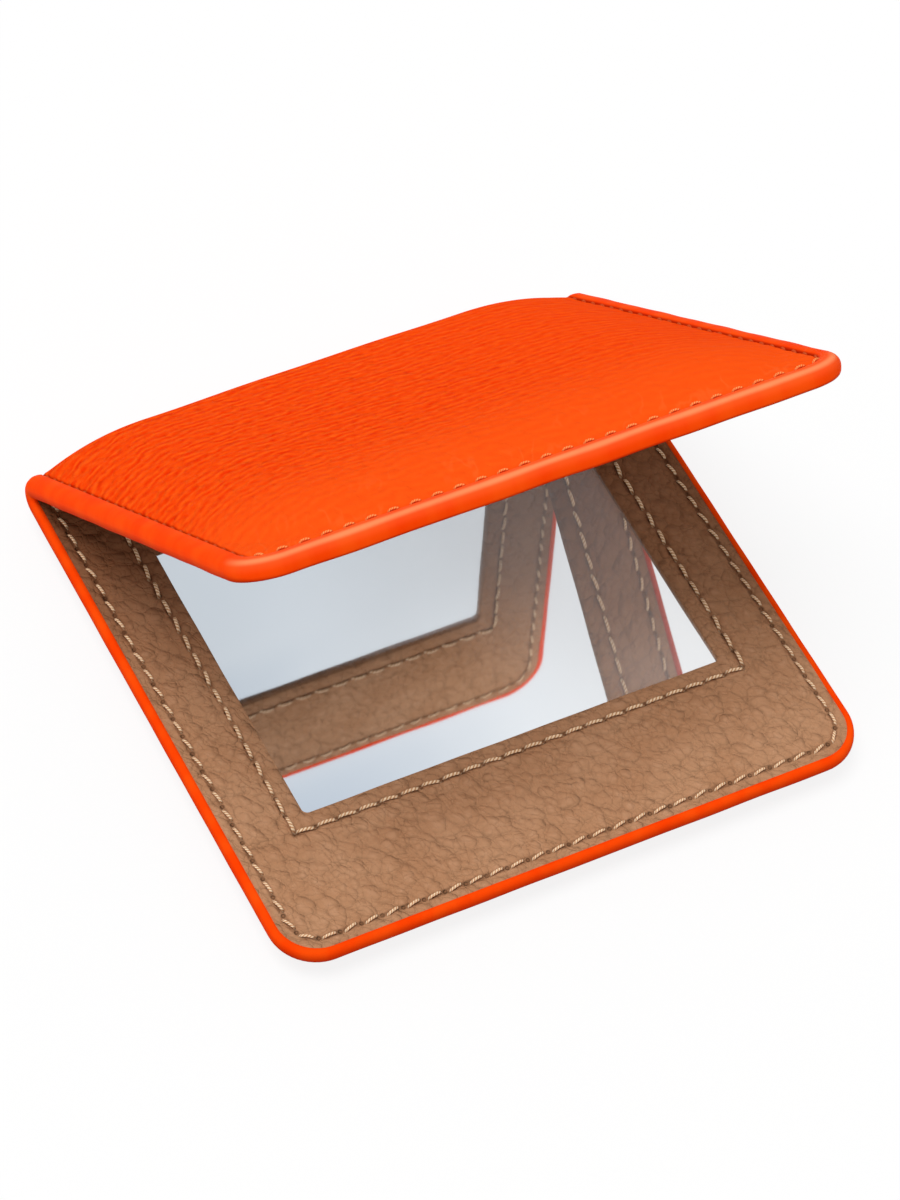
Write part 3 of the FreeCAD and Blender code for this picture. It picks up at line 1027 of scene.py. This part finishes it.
# %% Make one stitch
def make_stitch(name, length, width, lift, dive):
    """A bent tube along x, with its UV map along and round the thread."""
    stations, sides = 9, 6
    share = np.linspace(-1, 1, stations)
    arch = lift - (lift + dive) * np.abs(share) ** 3.2
    radius = width / 2 * (1 - 0.25 * share ** 4)          # a little thinner at its ends
    turn = np.arange(sides + 1) * 2 * math.pi / sides
    x = np.repeat(share * length / 2, sides + 1)
    y = np.outer(radius * 1.05, np.cos(turn)).ravel()
    z = (arch[:, None] + np.outer(radius * 0.85, np.sin(turn))).ravel()
    uv = np.stack([np.repeat(share / 2 + 0.5, sides + 1),
                   np.tile(turn / (2 * math.pi), stations)], -1)
    mesh = bpy.data.meshes.new(name)
    cells = grid_cells(stations, sides + 1)
    mesh.from_pydata((np.stack([x, y, z], -1) * MM).tolist(), [], cells.tolist())
    add_uv(mesh, "stitch", uv, cells)
    mend(mesh, merge=1e-7, close=True)
    mesh.shade_smooth()
    return bpy.data.objects.new(name, mesh)


window_stitch = make_stitch("window_stitch", length=2.78, width=0.46, lift=0.18, dive=0.30)
edge_stitch = make_stitch("edge_stitch", length=2.25, width=0.39, lift=0.15, dive=0.34)
cover_stitch = make_stitch("cover_stitch", length=1.75, width=0.38, lift=0.13, dive=0.32)
stitch_faces = len(edge_stitch.data.polygons)
print("one stitch:", stitch_faces, "faces")

# %% [markdown]
# ## Stitches along a seam
# Geometry Nodes set the stitches. The tree takes a line of points, makes it a
# curve, divides it by the pitch and puts a stitch on every point, turned along
# the seam and slanted across it, with a little change from stitch to stitch as
# hand sewing has. The direction out of the leather is kept on the line.

# %% Tree that sews a seam
def make_sewing_tree():
    group = bpy.data.node_groups.new("sew_a_seam", "GeometryNodeTree")
    for name, kind in (("Geometry", "Geometry"), ("Pitch", "Float"), ("Slant", "Float"),
                       ("Unevenness", "Float"), ("Stitch", "Object"), ("Thread", "Material")):
        group.interface.new_socket(name, in_out="INPUT", socket_type="NodeSocket" + kind)
    group.interface.new_socket("Geometry", in_out="OUTPUT", socket_type="NodeSocketGeometry")

    add = Tree(group).node
    given = Tree(group).outputs("NodeGroupInput")
    line = add("GeometryNodeMeshToCurve", Mesh=given["Geometry"])
    spots = add("GeometryNodeResampleCurve", {"mode": "LENGTH"},
                Curve=line, Length=given["Pitch"])
    out = add("GeometryNodeInputNamedAttribute", {"data_type": "FLOAT_VECTOR"}, "Attribute",
              Name="out_of_leather")
    upright = add("FunctionNodeAlignRotationToVector", {"axis": "Z"}, Vector=out)
    lined_up = add("FunctionNodeAlignRotationToVector", {"axis": "X", "pivot_axis": "Z"},
                   Rotation=upright, Vector=add("GeometryNodeInputTangent"))
    chance = add("FunctionNodeRandomValue", {"data_type": "FLOAT"}, Min=-1.0, Max=1.0, Seed=7)
    slant = chance * given["Unevenness"] + given["Slant"]
    turned = add("FunctionNodeRotateRotation", {"rotation_space": "LOCAL"},
                 Rotation=lined_up, Rotate_By=add("ShaderNodeCombineXYZ", Z=slant))
    one = add("GeometryNodeObjectInfo", None, "Geometry", Object=given["Stitch"])
    sewn = add("GeometryNodeInstanceOnPoints", Points=spots, Instance=one, Rotation=turned)
    real = add("GeometryNodeRealizeInstances", Geometry=sewn)
    shown = add("GeometryNodeSetMaterial", Geometry=real, Material=given["Thread"])
    group.links.new(shown.socket, group.nodes.new("NodeGroupOutput").inputs["Geometry"])
    return group


sewing_tree = make_sewing_tree()
print("sewing tree:", len(sewing_tree.nodes), "nodes")

# %% Sew one piece from its seam lines
just_short = 0.998           # of the pitch, so that rounding loses no stitch
unevenness = math.radians(5)


def sew(name, lines, pitch, slant, stitch, thread):
    """Mesh of all stitches on some lines of (points, directions out of the leather)."""
    mesh = bpy.data.meshes.new(name + "_line")
    edges, start = [], 0
    for points, _ in lines:
        edges += [(i, i + 1) for i in range(start, start + len(points) - 1)]
        start += len(points)
    points, outs = (np.concatenate(part) for part in zip(*lines))
    mesh.from_pydata(points.tolist(), edges, [])
    attribute = mesh.attributes.new("out_of_leather", "FLOAT_VECTOR", "POINT")
    attribute.data.foreach_set("vector", outs.astype(np.float32).ravel())
    guide = put_in_scene(name + "_line", mesh)
    modifier = guide.modifiers.new("sewing", "NODES")
    modifier.node_group = sewing_tree
    sizes = {"Pitch": pitch * MM * just_short, "Slant": math.radians(slant),
             "Unevenness": unevenness, "Stitch": stitch, "Thread": thread}
    for item in sewing_tree.interface.items_tree:
        if item.in_out == "INPUT" and item.name in sizes:
            modifier[item.identifier] = sizes[item.name]
    graph = bpy.context.evaluated_depsgraph_get()
    result = bpy.data.meshes.new_from_object(
        guide.evaluated_get(graph), preserve_all_data_layers=True, depsgraph=graph)
    bpy.data.objects.remove(guide)
    print(name, len(result.polygons) // stitch_faces, "stitches")
    return put_in_scene(name, result)


def seam_line(sheet, x, q, level, outward):
    """Points and directions of a seam on a flat piece, at a level of the panel."""
    points = sheet.place(x, q, level)
    return points, (sheet.place(x, q, level + outward) - points) / MM


# %% Lines of the seams
def edge_run(sheet, on_lid):
    """x and q of an edge seam, from half a stitch past one fold line to the other."""
    length = np.linspace(0.5, seam_count - 0.5, seam_count * 6 + 1) * edge_pitch
    past_half = length > seam_length / 2
    run = np.where(past_half, seam_length - length, length)
    angle = np.clip((run - seam_end) / seam_corner, 0, math.pi / 2)
    past = np.clip(run - seam_end - seam_corner * math.pi / 2, 0, None)
    x = np.where(past_half, 1.0, -1.0) * (seam_side + seam_corner * np.cos(angle) - past)
    v = np.minimum(run, seam_end) + seam_corner * np.sin(angle)
    return x, (sheet.arc + v if on_lid else -v)


def window_runs(on_lid):
    """x and q of the four sides of a window seam."""
    share_x, share_v = (np.linspace(0.5, count - 0.5, 60) / count
                        for count in (window_count_x, window_count_v))
    x = -window_seam_x + share_x * 2 * window_seam_x
    v = window_seam_low + share_v * (window_seam_high - window_seam_low)
    runs = [(np.full_like(v, side), v) for side in (-window_seam_x, window_seam_x)]
    runs += [(x, np.full_like(x, end)) for end in (window_seam_low, window_seam_high)]
    return [(x, lining_sheet.arc + v if on_lid else -v) for x, v in runs]


def rim_stitch_level(sheet, q):
    """Level of the stitches on the rim: sunk along the sides, nearly flush in front."""
    in_front = sheet.near_front(q, seam_end + 1, 2.4)
    return rim_face - side_sink + (side_sink - front_sink) * in_front


side_sink, front_sink = 0.40, 0.02     # the cover's thread below the rim
lining_stitch_level = lining_face + 0.10
edge_pitch = seam_length / seam_count
window_pitch = 2 * window_seam_x / window_count_x
print("pitch: %.2f mm on the edge, %.2f mm round the windows" % (edge_pitch, window_pitch))

# %% Sew the seams
edge_sewing = (12, edge_stitch, lining_thread)        # slant in degrees, stitch, thread
cover_sewing = (-10, cover_stitch, outer_thread)
window_sewing = (-6, window_stitch, lining_thread)

seams = {}
for body, on_lid in (("base", False), ("lid", True)):
    inside = seam_line(lining_sheet, *edge_run(lining_sheet, on_lid), lining_stitch_level, -1.0)
    seams[body + "_seam_thread_inside"] = sew(
        body + "_lining_stitches", [inside], edge_pitch, *edge_sewing)
    x, q = edge_run(cover_sheet, on_lid)
    outside = seam_line(cover_sheet, x, q, rim_stitch_level(cover_sheet, q), 1.0)
    seams[body + "_seam_thread_outside"] = sew(
        body + "_cover_stitches", [outside], edge_pitch, *cover_sewing)
    window = [seam_line(lining_sheet, x, q, lining_stitch_level, -1.0)
              for x, q in window_runs(on_lid)]
    seams[body + "_window_thread"] = sew(
        body + "_window_stitches", window, window_pitch, *window_sewing)

q = np.linspace(0.5, spine_count - 0.5, 24) / spine_count * edge_strip.arc
spine_level = rim_stitch_level(edge_strip, q)
over_spine = [seam_line(edge_strip, np.full_like(q, side), q, spine_level, 1.0)
              for side in (seam_inset - half_width, half_width - seam_inset)]
spine_stitches = sew("spine_cover_stitches", over_spine,
                     spine_level[0] * spine_turn / spine_count, *cover_sewing)

# %% [markdown]
# ## What moves with what
# Base and lid are the two bodies. Stitches ride on the panel that they are sewn
# to. Leather, paint and thread that cross the fold are each given their distance
# from the fold, and their places are baked into their points.

# %% Ride, and bake the places
across_fold = Vector((0, math.sin(open_angle / 2), math.cos(open_angle / 2)))
fold_point = Vector((0, fold_y, fold_z)) * MM
lining_bend = 0.95           # distance of the lining's middle from the fold


def bend_over_fold(piece, radius):
    """Bake a piece's place into its points; radius, its distance from the fold, only sets two
    ends that are not used.
    """
    reach = across_fold * (radius * math.cos(open_angle / 2) * MM)
    fold_point - reach
    fold_point + reach
    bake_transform(piece)


def copy_of(node):
    """Copy of a CAD node with its loose triangles merged."""
    mesh = frame["nodes"][node].data.copy()
    mend(mesh, merge=1e-6, outward=False)
    return put_in_scene(node + "_bent", mesh)


for piece, radius, slot in (
        (cover, crown_top, "outer_leather"), (painted_edge, rim_face, "edge_paint"),
        (lining, lining_bend, "lining"), (spine_stitches, rim_face, "outer_thread")):
    bend_over_fold(piece, radius)
for body in ("base", "spine", "lid"):
    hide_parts(body + "_outer_leather", body + "_foam_pad")
    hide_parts(body + "_edge_paint")
    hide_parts(body + "_lining")
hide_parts("spine_thread_outside")
for node, piece in seams.items():
    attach(piece, node.split("_")[0])
    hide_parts(node)
for node, radius, material, slot in (
        ("spine_reinforcement", frame_back, hidden_finishes["reinforcement"], "filler"),
        ("spine_thread_inside", lining_bend, lining_thread, "lining_thread")):
    piece = copy_of(node)
    dress(piece, material)
    bend_over_fold(piece, radius)
    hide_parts(node)

# %% [markdown]
# ## Studio
# The photograph is a plain product picture: white ground, soft light from all
# round, a stronger soft light from above, and only a faint shadow. A white floor
# and a white surrounding give that. Rays from the camera and from the mirrors see
# the surrounding white, and other rays get the light that it gives.

# %% Floor, light and surroundings
white = (1.0, 1.0, 1.0)


def make_floor(reach, shown_white):
    """White floor; seen rays get a share of plain white, so its shadow is faint."""
    mesh = bpy.data.meshes.new("floor")
    corners = ((-1, -1), (1, -1), (1, 1), (-1, 1))
    mesh.from_pydata([(x * reach, y * reach, 0) for x, y in corners], [], [(0, 1, 2, 3)])
    finish = new_finish("white_floor")
    matt = finish.node("ShaderNodeBsdfDiffuse", Color=linear(246, 246, 246))
    glow = finish.node("ShaderNodeEmission", Color=white, Strength=1.0)
    finish.close(finish.node("ShaderNodeMixShader", Fac=finish.seen_rays() * shown_white,
                             Shader=matt, Shader_001=glow))
    mesh.materials.append(finish.owner)
    put_in_scene("floor", mesh)


def make_surroundings(light, shown):
    """White all round: light is what it gives, shown is how bright it looks."""
    world = bpy.data.worlds.new("white_studio")
    bpy.context.scene.world = world
    finish = Finish(world)
    strength = light + (shown - light) * finish.seen_rays()
    finish.close(finish.node("ShaderNodeBackground", Color=white, Strength=strength),
                 "ShaderNodeOutputWorld")


def make_sun(name, direction, strength, spread):
    """Far lamp that shines along direction; a wide spread makes it soft."""
    sun = bpy.data.lights.new(name, "SUN")
    sun.energy = strength
    sun.angle = math.radians(spread)
    lamp = put_in_scene(name, sun)
    lamp.rotation_mode = "QUATERNION"
    lamp.rotation_quaternion = Vector(direction).to_track_quat("-Z", "Y")


make_floor(reach=3.0, shown_white=0.85)
make_surroundings(light=0.52, shown=1.0)
make_sun("overhead_softbox", (0.26, -0.06, -1.0), strength=1.85, spread=32)
print("surroundings:", bpy.context.scene.world.name)

# %% [markdown]
# ## Camera
# The viewpoint was worked out from the corners of the panels in the photograph:
# from the front left, well above, with a long lens, and the camera held a little
# askew.

# %% Camera of the photograph
camera_elevation = math.radians(53.53)
camera_azimuth = math.radians(34.46)
camera_roll = math.radians(9.18)
camera_place = Vector((-207.30, -304.23, 505.33)) * MM
focal_pixels = 4895.0
image_height = 1200
sensor_mm = 36.0

ahead = Vector((math.cos(camera_elevation) * math.sin(camera_azimuth),
                math.cos(camera_elevation) * math.cos(camera_azimuth),
                -math.sin(camera_elevation)))
right = ahead.cross(Vector((0, 0, 1))).normalized()
upward = right.cross(ahead)
rolled_right = right * math.cos(camera_roll) + upward * math.sin(camera_roll)
rolled_up = upward * math.cos(camera_roll) - right * math.sin(camera_roll)
lens = bpy.data.cameras.new("photo_camera")
lens.sensor_width = sensor_mm
lens.lens = focal_pixels / image_height * sensor_mm
lens.clip_start = 0.01
camera = put_in_scene("photo_camera", lens)
camera.matrix_world = Matrix.Translation(camera_place) @ Matrix(
    (rolled_right, rolled_up, -ahead)).transposed().to_4x4()
bpy.context.scene.camera = camera
bpy.context.scene.view_settings.view_transform = "Standard"
print("lens %.1f mm" % lens.lens)
